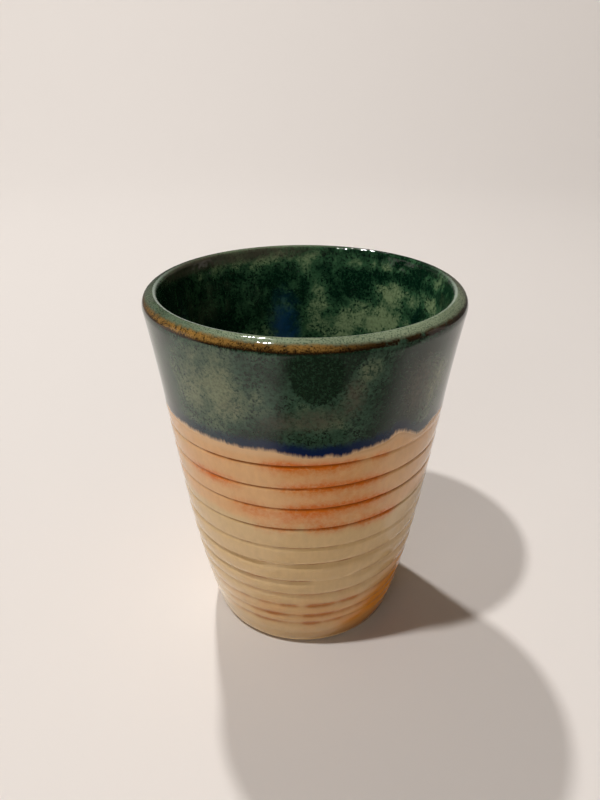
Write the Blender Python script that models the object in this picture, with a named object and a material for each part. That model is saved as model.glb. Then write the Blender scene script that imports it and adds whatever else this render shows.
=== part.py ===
"""A hand-thrown stoneware tumbler without a handle.

The clay body is one turned wall with a floor and a trimmed foot. A throwing line winds up its lower
wall as one continuous spiral groove. Three glaze coats lie on the clay: a cream coat on the lower wall,
which follows the groove, a green coat that the rim was dipped in, and a liner poured inside.
All sizes are in metres. The cup stands on z = 0, its axis is Z, and its front faces -Y.
"""
import math

import bmesh
import bpy

# Clay body: sizes of the bare clay
CLAY_HEIGHT = 0.0998
RIM_RADIUS = 0.0414  # widest point of the lip
RIM_LEAN = math.radians(9.6)  # of the outer wall from the vertical, just under the lip
LIP_THICKNESS = 0.0025
LIP_SHOULDER = 0.0025  # radius of the lip's outer shoulder, which slopes up to the inner edge
LIP_EDGE = 0.0005  # radius of the lip's inner edge
BASE_RADIUS = 0.0267  # where the outer wall runs into the rounded base edge
BASE_LEAN = math.radians(15.1)
BASE_ROUND = 0.003
WALL_AT_FLOOR = 0.005
FLOOR_THICKNESS = 0.005  # between the foot's recess and the inside floor
INSIDE_CORNER = 0.010
FOOT_WIDTH = 0.005  # of the ring that touches the table
FOOT_RECESS = 0.0015
FOOT_SLOPE = 0.001  # run of the recess's slanted side

# Throwing line: one spiral groove that rises to the right
SPIRAL_TURNS = 10.4
SPIRAL_BELOW_DIP = 0.0035  # from the dip's mean edge down to the spiral's upper end
SPIRAL_ABOVE_BASE = 0.0071  # from the rounded base edge up to the spiral's lower end
SPIRAL_CLOSING = 0.078  # share of its height that the middle sits low: the turns close towards the foot
SPIRAL_DRIFT = 0.018  # share of its height that the upper turns sit high and the lower turns low
SPIRAL_FADE = 0.18  # part of a turn in which the groove comes in and dies out
SPIRAL_RUN_OUT = 0.0006  # rise of the plain line that ends the spiral's last turn
GROOVE_DEPTH = 0.0005
GROOVE_LIP = 0.0004  # height of the groove's steep upper side
GROOVE_FALL = 0.0012  # height of its gentle lower side

# Glaze coats: each stands off the clay by a clearance
COAT = 0.0006
CLEARANCE = 0.0003
CREAM_START = math.radians(-36)  # angle on the rounded base edge where the cream coat begins
DIP_DEPTH = 0.0272  # from the clay's lip down to the dip's mean edge
DIP_INSIDE = 0.006  # how far below the clay's lip the dip reaches inside

# Edge of the dip: runs and notches as angle to the right of the front, half width, rise
DIP_RUNS = (
    (math.radians(4), math.radians(14), -0.0016),
    (math.radians(36), math.radians(7), 0.0018),
    (math.radians(50), math.radians(8), -0.0019),
    (math.radians(118), math.radians(20), 0.0011),
    (math.radians(165), math.radians(14), -0.0014),
    (math.radians(-135), math.radians(18), -0.0010),
)

# Facets
STEPS = 40  # around the axis
WALL_ROWS = 5
SHOULDER_ROWS = 4
EDGE_ROWS = 3
CORNER_ROWS = 4
FRONT = math.radians(-90)
SPIRAL_START = math.radians(-72)  # lower end of the spiral, to the right of the front

SKIN = CLEARANCE + COAT
LAP = COAT  # the dip laps over the cream coat on a bevel of 45 degrees
BUTT = CLEARANCE * math.sqrt(2)  # upright gap that leaves the clearance across that bevel


class Station:
    """A point of the clay's section, with the direction that its glaze builds up in."""

    def __init__(self, radius, height, out_radius, out_height):
        self.radius = radius
        self.height = height
        self.out_radius = out_radius
        self.out_height = out_height

    def raised(self, distance):
        """Return radius and height at a distance out of the clay."""
        return self.radius + distance * self.out_radius, self.height + distance * self.out_height


def arc(centre, radius, start, end, rows, hollow=False):
    """Return stations along an arc of the section, from one angle to another."""
    side = -1 if hollow else 1
    stations = []
    for row in range(rows + 1):
        angle = start + (end - start) * row / rows
        cosine = math.cos(angle)
        sine = math.sin(angle)
        point = centre[0] + radius * cosine, centre[1] + radius * sine
        stations.append(Station(*point, side * cosine, side * sine))
    return stations


class Wall:
    """A cubic wall line between two points of the section, with a set lean at each end."""

    def __init__(self, low, low_slope, high, high_slope, side):
        self.low = low
        self.high = high
        self.low_slope = low_slope
        self.high_slope = high_slope
        self.side = side

    def at(self, height):
        """Return the station at a height. Side is 1 on the outside and -1 on the inside."""
        rise = self.high[1] - self.low[1]
        t = (height - self.low[1]) / rise
        chord = self.high[0] - self.low[0]
        low_bend = self.low_slope * rise - chord
        high_bend = self.high_slope * rise - chord
        bow = t * (1 - t) * (low_bend * (1 - t) - high_bend * t)
        radius = self.low[0] + chord * t + bow
        bow_rate = low_bend * (1 - t) * (1 - 3 * t) - high_bend * t * (2 - 3 * t)
        slope = (chord + bow_rate) / rise
        length = math.hypot(1, slope)
        return Station(radius, height, self.side / length, -self.side * slope / length)

    def rows(self, start, end, count):
        """Return stations at even heights from start to end."""
        return [self.at(start + (end - start) * row / count) for row in range(count + 1)]


# Outside of the section: rounded base edge and wall, and a lip of two arcs that meet at lip_turn
base_centre = BASE_RADIUS - BASE_ROUND * math.cos(BASE_LEAN), BASE_ROUND
arc_step = LIP_SHOULDER - LIP_EDGE
lip_turn = math.acos((LIP_SHOULDER + LIP_EDGE - LIP_THICKNESS) / arc_step)
shoulder_centre = (
    RIM_RADIUS - LIP_SHOULDER,
    CLAY_HEIGHT - LIP_EDGE - arc_step * math.sin(lip_turn),
)
edge_centre = shoulder_centre[0] + arc_step * math.cos(lip_turn), CLAY_HEIGHT - LIP_EDGE
outer_low = BASE_RADIUS, BASE_ROUND * (1 - math.sin(BASE_LEAN))
outer_high = (
    shoulder_centre[0] + LIP_SHOULDER * math.cos(RIM_LEAN),
    shoulder_centre[1] - LIP_SHOULDER * math.sin(RIM_LEAN),
)
outer_wall = Wall(outer_low, math.tan(BASE_LEAN), outer_high, math.tan(RIM_LEAN), 1)

# Inside of the section: the wall thickens from the lip down to a rounded corner at the floor
floor_height = FOOT_RECESS + FLOOR_THICKNESS
corner_height = floor_height + INSIDE_CORNER
taper = (WALL_AT_FLOOR - LIP_THICKNESS) / (edge_centre[1] - corner_height)
corner_outside = outer_wall.at(corner_height)
floor_lean = math.atan(-corner_outside.out_height / corner_outside.out_radius + taper)
lip_lean = math.atan(math.tan(RIM_LEAN) + taper)
corner_centre = (
    corner_outside.radius - WALL_AT_FLOOR - INSIDE_CORNER * math.cos(floor_lean),
    corner_height,
)
inner_low = (
    corner_centre[0] + INSIDE_CORNER * math.cos(floor_lean),
    corner_centre[1] - INSIDE_CORNER * math.sin(floor_lean),
)
inner_high = (
    edge_centre[0] - LIP_EDGE * math.cos(lip_lean),
    edge_centre[1] + LIP_EDGE * math.sin(lip_lean),
)
inner_wall = Wall(inner_low, math.tan(floor_lean), inner_high, math.tan(lip_lean), -1)

shoulder = arc(shoulder_centre, LIP_SHOULDER, -RIM_LEAN, lip_turn, SHOULDER_ROWS)
lip_edge = arc(edge_centre, LIP_EDGE, lip_turn, math.pi - lip_lean, EDGE_ROWS)
lip = shoulder + lip_edge[1:]
corner = arc(corner_centre, INSIDE_CORNER, -floor_lean, -math.pi / 2, CORNER_ROWS, hollow=True)

# Heights on the wall that the groove and the coats share
dip_edge = CLAY_HEIGHT - DIP_DEPTH
dip_end = CLAY_HEIGHT - DIP_INSIDE
spiral_top = dip_edge - SPIRAL_BELOW_DIP
spiral_foot = outer_low[1] + SPIRAL_ABOVE_BASE
spiral_steps = round(SPIRAL_TURNS * STEPS)


def angle_of(step):
    """Return the angle about Z of a step, counted from the spiral's lower end."""
    return FRONT + SPIRAL_START + 2 * math.pi * step / STEPS


def dip_edge_at(step):
    """Return the height of the dip's wavy lower edge at a step."""
    height = dip_edge
    for place, half_width, rise in DIP_RUNS:
        turn = math.remainder(angle_of(step) - FRONT - place, 2 * math.pi)
        height += rise * math.exp(-((turn / half_width) ** 4))
    return height


def spiral_height(turn):
    """Return the height of the groove after a number of turns up from its lower end."""
    if turn > SPIRAL_TURNS:
        return spiral_top + SPIRAL_RUN_OUT * (turn - SPIRAL_TURNS)
    left = 1 - turn / SPIRAL_TURNS
    low = SPIRAL_CLOSING * math.sin(math.pi * left) - SPIRAL_DRIFT * math.sin(2 * math.pi * left)
    return spiral_top - (spiral_top - spiral_foot) * (left + low)


def groove_depth(turn):
    """Return the groove's depth, which fades to nothing at both ends of the spiral."""
    nearest_end = min(turn, SPIRAL_TURNS - turn)
    share = min(max(nearest_end / SPIRAL_FADE, 0), 1)
    return GROOVE_DEPTH * share * share * (3 - 2 * share)


class Skin:
    """The vertices and faces of one piece, laid down ring by ring around the axis."""

    def __init__(self):
        self.points = []
        self.faces = []

    def point(self, step, place):
        angle = angle_of(step)
        radius, height = place
        self.points.append((radius * math.cos(angle), radius * math.sin(angle), height))
        return len(self.points) - 1

    def ring(self, place_at):
        """Add one ring of points. place_at gives radius and height at each step."""
        return [self.point(step, place_at(step)) for step in range(STEPS)]

    def level(self, station, distance):
        """Add one level ring at a distance out of the clay."""
        return self.ring(lambda step: station.raised(distance))

    def levels(self, stations, distance):
        return [self.level(station, distance) for station in stations]

    def bridge(self, rings):
        """Join each ring to the next with quads."""
        for low, high in zip(rings, rings[1:]):
            for step in range(STEPS):
                after = (step + 1) % STEPS
                self.faces.append((low[step], low[after], high[after], high[step]))

    def close(self, ring, height):
        """Close a ring to a point on the axis."""
        middle = self.point(0, (0, height))
        for step in range(STEPS):
            self.faces.append((ring[step], ring[(step + 1) % STEPS], middle))

    def spiral(self, low_ring, high_ring, distance):
        """Fill the wall between two rings with bands that wind up along the groove."""
        count = spiral_steps + STEPS + 1
        groove = []
        for step in range(count):
            turn = step / STEPS
            station = outer_wall.at(spiral_height(turn))
            groove.append(self.point(step, station.raised(distance - groove_depth(turn))))
        bands = []
        for step in range(spiral_steps + 1):
            turn = step / STEPS
            lip_place = outer_wall.at(spiral_height(turn) + GROOVE_LIP).raised(distance)
            room = spiral_height(turn + 1) - spiral_height(turn) - GROOVE_LIP
            fall = min(GROOVE_FALL, room / 2)
            fall_place = outer_wall.at(spiral_height(turn + 1) - fall).raised(distance)
            lip_point = self.point(step, lip_place)
            fall_point = self.point(step, fall_place)
            bands.append((groove[step], lip_point, fall_point, groove[step + STEPS]))
        for left, right in zip(bands, bands[1:]):
            for row in range(len(left) - 1):
                self.faces.append((left[row], right[row], right[row + 1], left[row + 1]))
        self.meet(low_ring, groove[: STEPS + 1], bands[0], 0)
        self.meet(high_ring, groove[spiral_steps:], bands[-1], spiral_steps)

    def meet(self, ring, edge, end, first_step):
        """Join the spiral's first or last turn, and the cut end of its band, to a level ring."""
        for step in range(STEPS):
            here = ring[(first_step + step) % STEPS]
            after = ring[(first_step + step + 1) % STEPS]
            self.faces.append((here, after, edge[step + 1], edge[step]))
        corner_point = ring[first_step % STEPS]
        for low, high in zip(end, end[1:]):
            self.faces.append((corner_point, low, high))

    def build(self, name, colour, roughness):
        """Turn the skin into a smooth-shaded object with its own material."""
        mesh = bpy.data.meshes.new(name)
        mesh.from_pydata(self.points, [], self.faces)
        shape = bmesh.new()
        shape.from_mesh(mesh)
        bmesh.ops.triangulate(shape, faces=shape.faces[:])
        bmesh.ops.recalc_face_normals(shape, faces=shape.faces[:])
        shape.to_mesh(mesh)
        shape.free()
        mesh.shade_smooth()
        mesh.set_sharp_from_angle(angle=math.radians(40))
        material = bpy.data.materials.new(name)
        material.use_nodes = True
        shader = material.node_tree.nodes["Principled BSDF"]
        shader.inputs["Base Color"].default_value = (*colour, 1)
        shader.inputs["Roughness"].default_value = roughness
        shader.inputs["Metallic"].default_value = 0
        mesh.materials.append(material)
        bpy.context.scene.collection.objects.link(bpy.data.objects.new(name, mesh))


def make_stoneware_body():
    """The thrown clay: trimmed foot, rounded base edge, grooved wall, sloped lip, inside and floor."""
    skin = Skin()
    foot_inside = base_centre[0] - FOOT_WIDTH
    recess = skin.ring(lambda step: (foot_inside - FOOT_SLOPE, FOOT_RECESS))
    land = skin.ring(lambda step: (foot_inside, 0))
    base_edge = skin.levels(arc(base_centre, BASE_ROUND, -math.pi / 2, -BASE_LEAN, CORNER_ROWS), 0)
    upper = skin.levels(outer_wall.rows(dip_edge, outer_high[1], WALL_ROWS), 0)
    rim = skin.levels(lip[1:], 0)
    inside = skin.levels(inner_wall.rows(inner_high[1], inner_low[1], WALL_ROWS)[1:], 0)
    floor = skin.levels(corner[1:], 0)
    skin.close(recess, FOOT_RECESS)
    skin.bridge([recess, land] + base_edge)
    skin.spiral(base_edge[-1], upper[0], 0)
    skin.bridge(upper + rim + inside + floor)
    skin.close(floor[-1], floor_height)
    skin.build("stoneware_body", (0.46, 0.34, 0.23), 0.8)


def make_cream_glaze():
    """The cream coat: from the rounded base edge up the grooved wall to the bevel under the dip."""
    skin = Skin()
    start = arc(base_centre, BASE_ROUND, CREAM_START, -BASE_LEAN, CORNER_ROWS // 2)
    faces = []
    for distance, lap in ((CLEARANCE, LAP), (SKIN, 0)):
        lower = skin.levels(start, distance)
        top = skin.ring(
            lambda step: outer_wall.at(dip_edge_at(step) - BUTT + lap).raised(distance)
        )
        skin.spiral(lower[-1], top, distance)
        skin.bridge(lower)
        faces.append((lower[0], top))
    back, front = faces
    skin.bridge([back[0], front[0]])
    skin.bridge([back[1], front[1]])
    skin.build("cream_glaze", (0.51, 0.34, 0.18), 0.15)


def make_dip_glaze():
    """The green coat of the dipped rim: outer collar with a wavy edge, over the lip and a little inside."""
    skin = Skin()
    faces = []
    for distance, lap in ((CLEARANCE, LAP), (SKIN, 0)):
        collar = []
        for row in range(WALL_ROWS):
            share = row / WALL_ROWS
            collar.append(
                skin.ring(
                    lambda step: outer_wall.at(
                        (dip_edge_at(step) + lap) * (1 - share) + outer_high[1] * share
                    ).raised(distance)
                )
            )
        rim = skin.levels(lip, distance)
        inside = skin.level(inner_wall.at(dip_end), distance)
        rings = collar + rim + [inside]
        skin.bridge(rings)
        faces.append(rings)
    back, front = faces
    skin.bridge([back[0], front[0]])
    skin.bridge([back[-1], front[-1]])
    skin.build("dip_glaze", (0.05, 0.1, 0.07), 0.12)


def make_liner_glaze():
    """The poured liner: inside wall, rounded corner and floor, up to the end of the dip."""
    skin = Skin()
    wall = inner_wall.rows(dip_end - CLEARANCE, inner_low[1], WALL_ROWS)
    faces = []
    for distance in (CLEARANCE, SKIN):
        rings = skin.levels(wall + corner[1:], distance)
        skin.bridge(rings)
        skin.close(rings[-1], floor_height + distance)
        faces.append(rings[0])
    skin.bridge(faces)
    skin.build("liner_glaze", (0.03, 0.07, 0.05), 0.1)


for old in list(bpy.data.objects):
    bpy.data.objects.remove(old)
make_stoneware_body()
make_cream_glaze()
make_dip_glaze()
make_liner_glaze()
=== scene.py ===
"""A hand-thrown stoneware tumbler: a clay body, a poured liner, a cream coat and a green dipped rim.

Sizes are in millimetres until a mesh is made. Angles go round the axis to the right of the front, and the
front faces -Y.
"""
import math

import bmesh
import bpy
import numpy as np
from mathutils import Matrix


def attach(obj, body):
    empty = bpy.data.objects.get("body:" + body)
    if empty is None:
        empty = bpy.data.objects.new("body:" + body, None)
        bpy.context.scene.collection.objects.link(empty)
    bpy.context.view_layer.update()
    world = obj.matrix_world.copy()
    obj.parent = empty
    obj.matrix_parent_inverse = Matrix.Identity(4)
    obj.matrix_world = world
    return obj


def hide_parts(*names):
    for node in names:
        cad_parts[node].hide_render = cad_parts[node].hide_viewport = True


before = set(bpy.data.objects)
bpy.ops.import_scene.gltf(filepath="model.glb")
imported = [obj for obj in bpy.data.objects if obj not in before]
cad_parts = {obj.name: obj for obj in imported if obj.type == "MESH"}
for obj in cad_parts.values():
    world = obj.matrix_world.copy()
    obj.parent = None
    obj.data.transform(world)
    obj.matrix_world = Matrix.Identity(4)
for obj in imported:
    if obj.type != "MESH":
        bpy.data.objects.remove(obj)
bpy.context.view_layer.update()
bpy.context.scene.view_settings.view_transform = "Standard"

# STONEWARE BODY
# The cup itself, thrown on a wheel from coarse buff stoneware as one wall with a floor, then turned over
# and trimmed at the foot. Fired, it is bare only on the foot. A throwing line winds up its outside.
MM = 0.001
CLAY_HEIGHT = 99.8
RIM_RADIUS = 41.4
RIM_LEAN = math.radians(9.6)
LIP_THICKNESS = 2.5
LIP_SHOULDER = 2.5
LIP_EDGE = 0.5
BASE_RADIUS = 26.7
BASE_LEAN = math.radians(15.1)
BASE_ROUND = 3.0
WALL_AT_FLOOR = 5.0
FLOOR_HEIGHT = 6.5
INSIDE_CORNER = 10.0
FOOT_WIDTH = 5.0
FOOT_RECESS = 1.5
FOOT_SLOPE = 1.0
DIP_EDGE = 72.6
DIP_END = 93.8
TRIM_RIDGE = 2.2
TRIM_DEPTH = 0.12
LAND_BEVEL = 0.25
LAND_INSET = 0.15
LAND_MARGIN = 0.3
# How the hand left the wall inside its true circle: waves round it, half their depth, the height that turns
# them by a radian, and where they start
HAND_WOBBLE = ((2, 0.04, 40, 0.7), (7, 0.014, -11, 0.0))
BODY_STEPS = 240
RECESS_ROWS = 60
BODY_ROWS = {"base": 14, "collar": 16, "shoulder": 12, "edge": 8, "inside": 30, "corner": 12}
MERGE = 0.0005
SHARP_EDGE = math.radians(40)
OUTSIDE = 1
INSIDE = -1


def wall_line(low, low_lean, high, high_lean):
    """Return the thrown line of a wall between two points: its radius and slope at any height."""
    rise = high[1] - low[1]
    run = high[0] - low[0]
    low_bend = math.tan(low_lean) * rise - run
    high_bend = math.tan(high_lean) * rise - run

    def at(height):
        share = (height - low[1]) / rise
        bow = share * (1 - share) * (low_bend * (1 - share) - high_bend * share)
        bow_rate = low_bend * (1 - share) * (1 - 3 * share) - high_bend * share * (2 - 3 * share)
        return low[0] + run * share + bow, (run + bow_rate) / rise

    return at


def on_wall(line, height, coat, side):
    """Return radius and height of a coat's face on a wall."""
    radius, slope = line(height)
    length = np.sqrt(1 + slope**2)
    return radius + side * coat / length, height - side * coat * slope / length


def on_arc(centre, bend, angle, coat):
    """Return radius and height of a coat's face on a rounded part. A hollow has a negative bend."""
    reach = abs(bend + coat)
    return centre[0] + reach * np.cos(angle), centre[1] + reach * np.sin(angle)


def eased(share):
    """Return a share from 0 to 1 that starts and ends softly."""
    share = np.clip(share, 0, 1)
    return share * share * (3 - 2 * share)


def around(steps):
    """Return the angles of a piece's columns, from the back round the front to the back again."""
    return np.linspace(-math.pi, math.pi, steps + 1)


base_centre = BASE_RADIUS - BASE_ROUND * math.cos(BASE_LEAN), BASE_ROUND
arc_step = LIP_SHOULDER - LIP_EDGE
lip_turn = math.acos((LIP_SHOULDER + LIP_EDGE - LIP_THICKNESS) / arc_step)
edge_height = CLAY_HEIGHT - LIP_EDGE
shoulder_centre = RIM_RADIUS - LIP_SHOULDER, edge_height - arc_step * math.sin(lip_turn)
edge_centre = shoulder_centre[0] + arc_step * math.cos(lip_turn), edge_height
outer_low = BASE_RADIUS, BASE_ROUND * (1 - math.sin(BASE_LEAN))
outer_high = on_arc(shoulder_centre, LIP_SHOULDER, -RIM_LEAN, 0)
outer_wall = wall_line(outer_low, BASE_LEAN, outer_high, RIM_LEAN)

corner_height = FLOOR_HEIGHT + INSIDE_CORNER
taper = (WALL_AT_FLOOR - LIP_THICKNESS) / (edge_height - corner_height)
corner_outside, corner_slope = outer_wall(corner_height)
floor_lean = math.atan(corner_slope + taper)
lip_lean = math.atan(math.tan(RIM_LEAN) + taper)
corner_radius = corner_outside - WALL_AT_FLOOR - INSIDE_CORNER * math.cos(floor_lean)
corner_centre = corner_radius, corner_height
inner_low = on_arc(corner_centre, INSIDE_CORNER, -floor_lean, 0)
inner_high = on_arc(edge_centre, LIP_EDGE, math.pi - lip_lean, 0)
inner_wall = wall_line(inner_low, floor_lean, inner_high, lip_lean)

# The throwing line: the potter's finger, drawn up while the wheel turned
SPIRAL_TURNS = 10.4
SPIRAL_BELOW_DIP = 3.5
SPIRAL_ABOVE_BASE = 7.1
SPIRAL_TOP = DIP_EDGE - SPIRAL_BELOW_DIP
SPIRAL_FOOT = outer_low[1] + SPIRAL_ABOVE_BASE
SPIRAL_START = math.radians(-72)
SPIRAL_CLOSING = 0.078
SPIRAL_DRIFT = 0.018
SPIRAL_FADE = 0.18
PAST_END_PITCH = 5.0
# How the line wanders up and down with the hand: half its reach, radians in a turn, and where it starts
HAND_WANDER = ((0.14, 8.7, 0.4), (0.09, 20.3, 2.0))
GROOVE_DEPTH = 0.38
GROOVE_LIP = 0.3
GROOVE_FALL = 0.85
BAND_BULGE = 0.12
PLAIN_END = 0.5
# Below the upper turns the finger lay flat and cut deeper and wider, and on the lowest ones it pressed less
SOFT_TURNS = 6.8
SOFT_DEEPER = 0.9
SOFT_DEEPENS_OVER = 0.8
SOFT_WIDER = 1.1
SOFT_WIDENS_OVER = 1.5
SOFT_LIP_SHARE = 0.4
LOW_TURNS = 3.0
LOW_LOSS = 0.8
LOW_FADES_OVER = 0.6
PRESSURE_SWING = 0.2
PRESSURE_RATE = 11.3
PRESSURE_START = 1.0
# Rows of points along the throwing line: distances above it, shares of the band, distances below the next
FACE_ROWS = ((0, 0.08, 0.16, 0.26, 0.42, 0.75), (0.25, 0.5, 0.75), (1.5, 1.05, 0.72, 0.46, 0.26, 0.12))
BACK_ROWS = ((0, 0.26), (0.5,), (0.72, 0.26))
SPARE_BANDS = 3
# Where the finger pressed less: turn from the lower end, half width in turns, share of the depth lost
LIGHT_PRESSURE = (
    (10.02, 0.07, 0.5),
    (9.01, 0.08, 0.5),
    (8.02, 0.07, 0.5),
    (7.02, 0.07, 0.4),
    (9.42, 0.05, 0.4),
    (8.63, 0.06, 0.5),
    (7.6, 0.09, 0.5),
    (6.2, 0.22, 0.55),
    (5.17, 0.02, 0.6),
    (4.24, 0.035, 0.9),
    (3.2, 0.3, 0.45),
    (2.2, 0.012, 0.8),
)


def spiral_height(turn):
    """Return the height of the throwing line after a number of turns from its lower end."""
    inside = np.clip(turn, 0, SPIRAL_TURNS)
    left = 1 - inside / SPIRAL_TURNS
    low = SPIRAL_CLOSING * np.sin(math.pi * left) - SPIRAL_DRIFT * np.sin(2 * math.pi * left)
    wander = sum(reach * np.sin(rate * turn + start) for reach, rate, start in HAND_WANDER)
    height = SPIRAL_TOP - (SPIRAL_TOP - SPIRAL_FOOT) * (left + low) + wander
    return height + PAST_END_PITCH * (turn - inside)


def groove_depth(turn):
    """Return the depth of the throwing line, which varies with the hand and fades at both ends."""
    depth = GROOVE_DEPTH * eased(np.minimum(turn, SPIRAL_TURNS - turn) / SPIRAL_FADE)
    depth = depth * (1 + SOFT_DEEPER * eased((SOFT_TURNS - turn) / SOFT_DEEPENS_OVER))
    depth = depth * (1 - LOW_LOSS * eased((LOW_TURNS - turn) / LOW_FADES_OVER))
    for place, half_width, loss in LIGHT_PRESSURE:
        depth = depth * (1 - loss * np.exp(-(((turn - place) / half_width) ** 4)))
    return depth * (1 + PRESSURE_SWING * np.sin(PRESSURE_RATE * turn + PRESSURE_START))


def groove_softness(turn):
    """Return how much wider the throwing line's sides are on its lower turns, where the finger lay flat."""
    return SOFT_WIDER * eased((SOFT_TURNS - turn) / SOFT_WIDENS_OVER)


def grooved_wall(angle, low, high, coat, steps):
    """Return the grooved wall's rows from a low height to a high one, and where each lies in its band.

    Rows wind up with the throwing line. Those that would pass an end lie on it, and merge there."""
    rows = []
    steps_above, shares, steps_below = steps
    for band in range(-SPARE_BANDS, math.ceil(SPIRAL_TURNS) + SPARE_BANDS):
        turn = band + (angle - SPIRAL_START) / (2 * math.pi)
        bottom = spiral_height(turn)
        top = spiral_height(turn + 1)
        start = bottom + steps_above[-1]
        end = top - steps_below[0]
        heights = [bottom + step for step in steps_above]
        heights += [start + (end - start) * share for share in shares]
        heights += [top - step for step in steps_below]
        for height in heights:
            rows.append((turn, height, bottom, top))
    turn, height, bottom, top = (np.array(column) for column in zip(*rows))
    height = np.clip(height, low, high)
    above = height - bottom
    below = top - height
    plain = eased((height - low) / PLAIN_END) * eased((high - height) / PLAIN_END)
    lip = GROOVE_LIP + SOFT_LIP_SHARE * groove_softness(turn)
    fall = GROOVE_FALL + groove_softness(turn + 1)
    cut = groove_depth(turn) * (1 - eased(above / lip))
    cut += groove_depth(turn + 1) * (1 - eased(below / fall))
    share = np.clip(above / (top - bottom), 0, 1)
    cut -= BAND_BULGE * 4 * share * (1 - share)
    thickness = coat(height) if callable(coat) else coat
    radius, height_on = on_wall(outer_wall, height, thickness - cut * plain, OUTSIDE)
    marks = {"turn": turn, "above": above, "below": below, "plain": plain, "height": height}
    return radius, height_on, marks


def level_rows(angle, places):
    """Return level rows round the axis from radius and height along the section."""
    radius, height = places
    ones = np.ones_like(angle)
    return np.outer(radius, ones), np.outer(height, ones)


def wobble(angle, height):
    """Return how far the hand left the wall inside its true circle."""
    depth = 0
    for waves, half, rise, start in HAND_WOBBLE:
        depth = depth + half * (1 - np.cos(waves * angle + start + height / rise))
    return depth


def thrown(name, angle, patches, marks=None):
    """Join patches of rows round the axis into one smooth piece. Marks are values kept at its points."""
    points = []
    faces = []
    count = 0
    for radius, height in patches:
        rows, columns = radius.shape
        radius = radius - wobble(angle, height) * eased(radius / RIM_RADIUS)
        place = (radius * np.sin(angle), -radius * np.cos(angle), height)
        points.append(np.stack(place, axis=-1).reshape(-1, 3) * MM)
        corner = count + np.arange(rows * columns).reshape(rows, columns)
        quads = (corner[:-1, :-1], corner[:-1, 1:], corner[1:, 1:], corner[1:, :-1])
        faces.append(np.stack(quads, axis=-1).reshape(-1, 4))
        count += rows * columns
    mesh = bpy.data.meshes.new(name)
    mesh.from_pydata(np.concatenate(points).tolist(), [], np.concatenate(faces).tolist())
    for mark, values in (marks or {}).items():
        layer = mesh.attributes.new(mark, "FLOAT", "POINT")
        layer.data.foreach_set("value", np.concatenate([value.ravel() for value in values]))
    shape = bmesh.new()
    shape.from_mesh(mesh)
    bmesh.ops.remove_doubles(shape, verts=shape.verts[:], dist=MERGE * MM)
    bmesh.ops.recalc_face_normals(shape, faces=shape.faces[:])
    shape.to_mesh(mesh)
    shape.free()
    mesh.shade_smooth()
    mesh.set_sharp_from_angle(angle=SHARP_EDGE)
    piece = bpy.data.objects.new(name, mesh)
    bpy.context.scene.collection.objects.link(piece)
    return piece


body_angle = around(BODY_STEPS)
foot_inside = base_centre[0] - FOOT_WIDTH
recess_radius = np.linspace(0, foot_inside - FOOT_SLOPE, RECESS_ROWS)
recess, recess_height = level_rows(body_angle, (recess_radius, np.full(RECESS_ROWS, FOOT_RECESS)))
trim_phase = 2 * math.pi * recess / TRIM_RIDGE - body_angle
trim_room = eased(recess / TRIM_RIDGE) * eased((recess[-1] - recess) / TRIM_RIDGE)
recess_height = recess_height + TRIM_DEPTH * trim_room * np.sin(trim_phase)
land = (
    np.array([foot_inside - LAND_BEVEL, foot_inside + LAND_INSET, base_centre[0] - LAND_MARGIN]),
    np.array([LAND_BEVEL, 0.0, 0.0]),
)
base_angles = np.linspace(-math.pi / 2, -BASE_LEAN, BODY_ROWS["base"])
base_arc = on_arc(base_centre, BASE_ROUND, base_angles, 0)
land_rows = level_rows(body_angle, land)
base_rows = level_rows(body_angle, base_arc)
foot_rows = [np.concatenate(parts) for parts in zip((recess, recess_height), land_rows, base_rows)]
wall_radius, wall_height, _ = grooved_wall(body_angle, outer_low[1], DIP_EDGE, 0, FACE_ROWS)
collar_heights = np.linspace(DIP_EDGE, outer_high[1], BODY_ROWS["collar"])
shoulder_angles = np.linspace(-RIM_LEAN, lip_turn, BODY_ROWS["shoulder"])[1:]
edge_angles = np.linspace(lip_turn, math.pi - lip_lean, BODY_ROWS["edge"])[1:]
inside_heights = np.linspace(inner_high[1], inner_low[1], BODY_ROWS["inside"])[1:]
corner_angles = np.linspace(-floor_lean, -math.pi / 2, BODY_ROWS["corner"])[1:]
upper_rows = [
    on_wall(outer_wall, collar_heights, 0, OUTSIDE),
    on_arc(shoulder_centre, LIP_SHOULDER, shoulder_angles, 0),
    on_arc(edge_centre, LIP_EDGE, edge_angles, 0),
    on_wall(inner_wall, inside_heights, 0, INSIDE),
    on_arc(corner_centre, -INSIDE_CORNER, corner_angles, 0),
    (np.array([0.0]), np.array([FLOOR_HEIGHT])),
]
upper_line = [np.concatenate(parts) for parts in zip(*upper_rows)]
stoneware_body = thrown(
    "thrown_body",
    body_angle,
    [tuple(foot_rows), (wall_radius, wall_height), level_rows(body_angle, upper_line)],
)


def colour(code):
    """Return the linear colour of an sRGB hex value."""
    shares = [int(code[start : start + 2], 16) / 255 for start in (1, 3, 5)]
    return tuple(s / 12.92 if s <= 0.04045 else ((s + 0.055) / 1.055) ** 2.4 for s in shares) + (1,)


def add(tree, kind, inputs=None, output=0, **settings):
    """Add a node, set it up, and give each input a value, a hex colour or a link. Return one output."""
    node = tree.nodes.new("ShaderNode" + kind)
    for setting, value in settings.items():
        setattr(node, setting, value)
    for key, value in (inputs or {}).items():
        if isinstance(value, bpy.types.NodeSocket):
            tree.links.new(value, node.inputs[key])
        else:
            node.inputs[key].default_value = colour(value) if isinstance(value, str) else value
    return node.outputs[output]


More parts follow.
